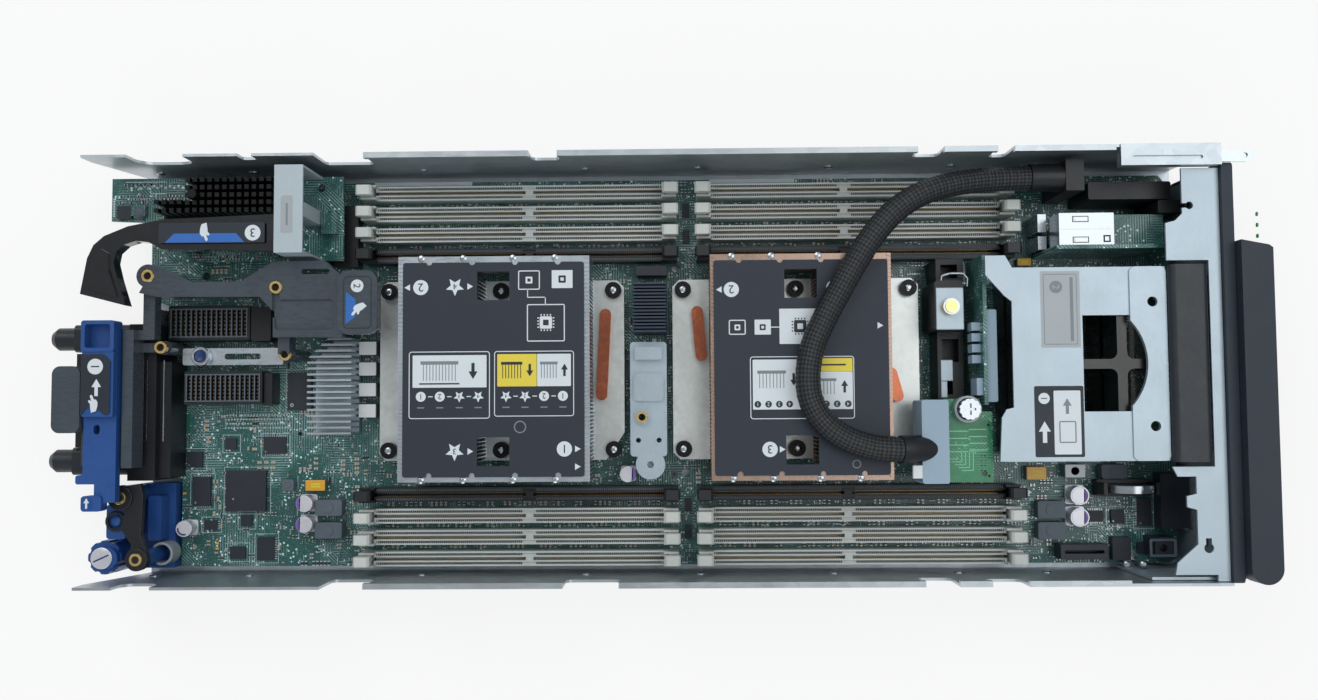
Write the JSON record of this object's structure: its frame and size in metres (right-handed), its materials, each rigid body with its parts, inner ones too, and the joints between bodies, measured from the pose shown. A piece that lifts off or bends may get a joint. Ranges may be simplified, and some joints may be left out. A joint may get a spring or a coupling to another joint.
{
  "type": "blade server",
  "caption": "Half-height blade server with its cover off: sheet metal tray, system board, memory sockets, finned heatsinks, drive cage, rear mezzanine frame and hinged front lever.",
  "frame": {"origin": "middle of the tray's underside", "axes": "+X along the blade towards the front bezel, +Y across the board towards the pull tab, +Z out of the open tray"},
  "size_m": [0.518, 0.181, 0.0556],
  "materials": {
    "galvanised": "galvanised, satin",
    "light_metal": "satin",
    "steel": "polished",
    "nickel": "satin",
    "aluminium": "satin",
    "bronze_fins": "satin",
    "copper": "satin",
    "brass": "polished",
    "slate_label": "matt",
    "slate_plastic": "fine texture",
    "black_plastic": "matt",
    "gloss_black": "gloss",
    "roll_plastic": "matt",
    "ivory_plastic": "matt",
    "white_plastic": "matt",
    "blue_plastic": "satin",
    "pcb": "solder mask",
    "pcb_bright": "solder mask",
    "black_anodised": "anodised",
    "grey_block": "matt",
    "cap_can": "satin",
    "cable_sleeve": "braided sleeve"
  },
  "bodies": {
    "tray": {"chassis_pan": "galvanised", "front_frame": "light_metal", "bezel": "slate_plastic", "bay_shroud": "roll_plastic", "lever_pin": "steel", "drive_cage": "light_metal", "backplane": "pcb", "backplane_connectors": "grey_block", "cage_bracket": "black_plastic", "cable_board": "pcb_bright", "cable_socket": "white_plastic", "cable": "cable_sleeve", "front_header": "black_plastic", "usb_riser": "pcb", "usb_port": "steel", "system_board": "pcb", "sockets_white": "ivory_plastic", "sockets_black": "black_plastic", "cpu_sockets": "black_plastic", "processors": "nickel", "rear_sink_base": "nickel", "rear_sink_fins": "aluminium", "rear_sink_plate": "slate_label", "front_sink_base": "nickel", "front_sink_fins": "bronze_fins", "front_sink_plate": "slate_label", "heat_pipes": "copper", "sink_screws": "black_anodised", "board_sinks": "aluminium", "chips": "black_plastic", "inductors": "grey_block", "capacitors": "cap_can", "coin_holder": "black_plastic", "centre_bracket": "galvanised", "rear_connector": "black_plastic", "guide_pins": "roll_plastic", "mezz_sockets": "black_plastic", "lock_bar": "aluminium", "slide_guide": "blue_plastic", "lan_shroud": "black_plastic"},
    "lever": {"release_lever": "slate_plastic"},
    "release_button": {"release_button": "blue_plastic"},
    "power_button": {"power_button": "white_plastic"},
    "pull_tab": {"pull_tab": "light_metal"},
    "blank_upper": {"drive_blank_upper": "black_plastic"},
    "blank_lower": {"drive_blank_lower": "black_plastic"},
    "latches_a": {"latches_a": "ivory_plastic"},
    "latches_b": {"latches_b": "ivory_plastic"},
    "latches_c": {"latches_c": "ivory_plastic"},
    "latches_d": {"latches_d": "ivory_plastic"},
    "cage_screw": {"cage_screw": "brass"},
    "thumb_screw": {"thumb_screw": "steel"},
    "mezz_frame": {"mezz_frame": "black_plastic"},
    "release_slide": {"release_slide": "blue_plastic"},
    "turn_lock": {"turn_lock": "blue_plastic"},
    "lan_card": {"lan_board": "pcb_bright", "lan_sink": "black_anodised", "lan_handle": "gloss_black", "lan_band": "white_plastic"},
    "coin_cell": {"coin_cell": "steel"}
  },
  "joints": [
    {"name": "lever_swing", "type": "hinge", "parent": "tray", "child": "lever", "pos_m": [0.2526, -0.0831, 0.05], "axis": [0, 0, -1], "range_deg": [0, 50]},
    {"name": "release_press", "type": "slide", "parent": "tray", "child": "release_button", "axis": [-1, 0, 0], "range_m": [0, 0.0018], "stiffness_N_per_m": 600, "springref_m": -0.001},
    {"name": "power_press", "type": "slide", "parent": "tray", "child": "power_button", "axis": [-1, 0, 0], "range_m": [0, 0.001], "stiffness_N_per_m": 800, "springref_m": -0.001},
    {"name": "tab_pull", "type": "slide", "parent": "tray", "child": "pull_tab", "axis": [1, 0, 0], "range_m": [0, 0.03]},
    {"name": "blank_upper_draw", "type": "slide", "parent": "tray", "child": "blank_upper", "axis": [1, 0, 0], "range_m": [0, 0.09]},
    {"name": "blank_lower_draw", "type": "slide", "parent": "tray", "child": "blank_lower", "axis": [1, 0, 0], "range_m": [0, 0.09]},
    {"name": "latches_a_open", "type": "hinge", "parent": "tray", "child": "latches_a", "pos_m": [-0.1205, 0, 0.012], "axis": [0, -1, 0], "range_deg": [0, 12]},
    {"name": "latches_b_open", "type": "hinge", "parent": "tray", "child": "latches_b", "pos_m": [0.0141, 0, 0.012], "axis": [0, 1, 0], "range_deg": [0, 12]},
    {"name": "latches_c_open", "type": "hinge", "parent": "tray", "child": "latches_c", "pos_m": [0.0279, 0, 0.012], "axis": [0, -1, 0], "range_deg": [0, 12]},
    {"name": "latches_d_open", "type": "hinge", "parent": "tray", "child": "latches_d", "pos_m": [0.1625, 0, 0.012], "axis": [0, 1, 0], "range_deg": [0, 12]},
    {"name": "cage_screw_turn", "type": "hinge", "parent": "tray", "child": "cage_screw", "pos_m": [0.1327, 0.0251, 0.03], "axis": [0, 0, 1], "continuous": true},
    {"name": "thumb_screw_turn", "type": "hinge", "parent": "tray", "child": "thumb_screw", "pos_m": [0.1377, -0.0184, 0.04], "axis": [0, 0, 1], "continuous": true},
    {"name": "mezz_frame_lift", "type": "slide", "parent": "tray", "child": "mezz_frame", "axis": [0, 0, 1], "range_m": [0, 0.03]},
    {"name": "slide_unlock", "type": "slide", "parent": "mezz_frame", "child": "release_slide", "axis": [0, 1, 0], "range_m": [0, 0.005]},
    {"name": "turn_lock_turn", "type": "hinge", "parent": "tray", "child": "turn_lock", "pos_m": [-0.2316, -0.08, 0.02], "axis": [0, 0, 1], "range_deg": [0, 90]},
    {"name": "lan_card_lift", "type": "slide", "parent": "tray", "child": "lan_card", "axis": [0, 0, 1], "range_m": [0, 0.03]},
    {"name": "coin_cell_lift", "type": "slide", "parent": "tray", "child": "coin_cell", "axis": [0, 0, 1], "range_m": [0, 0.02]}
  ]
}
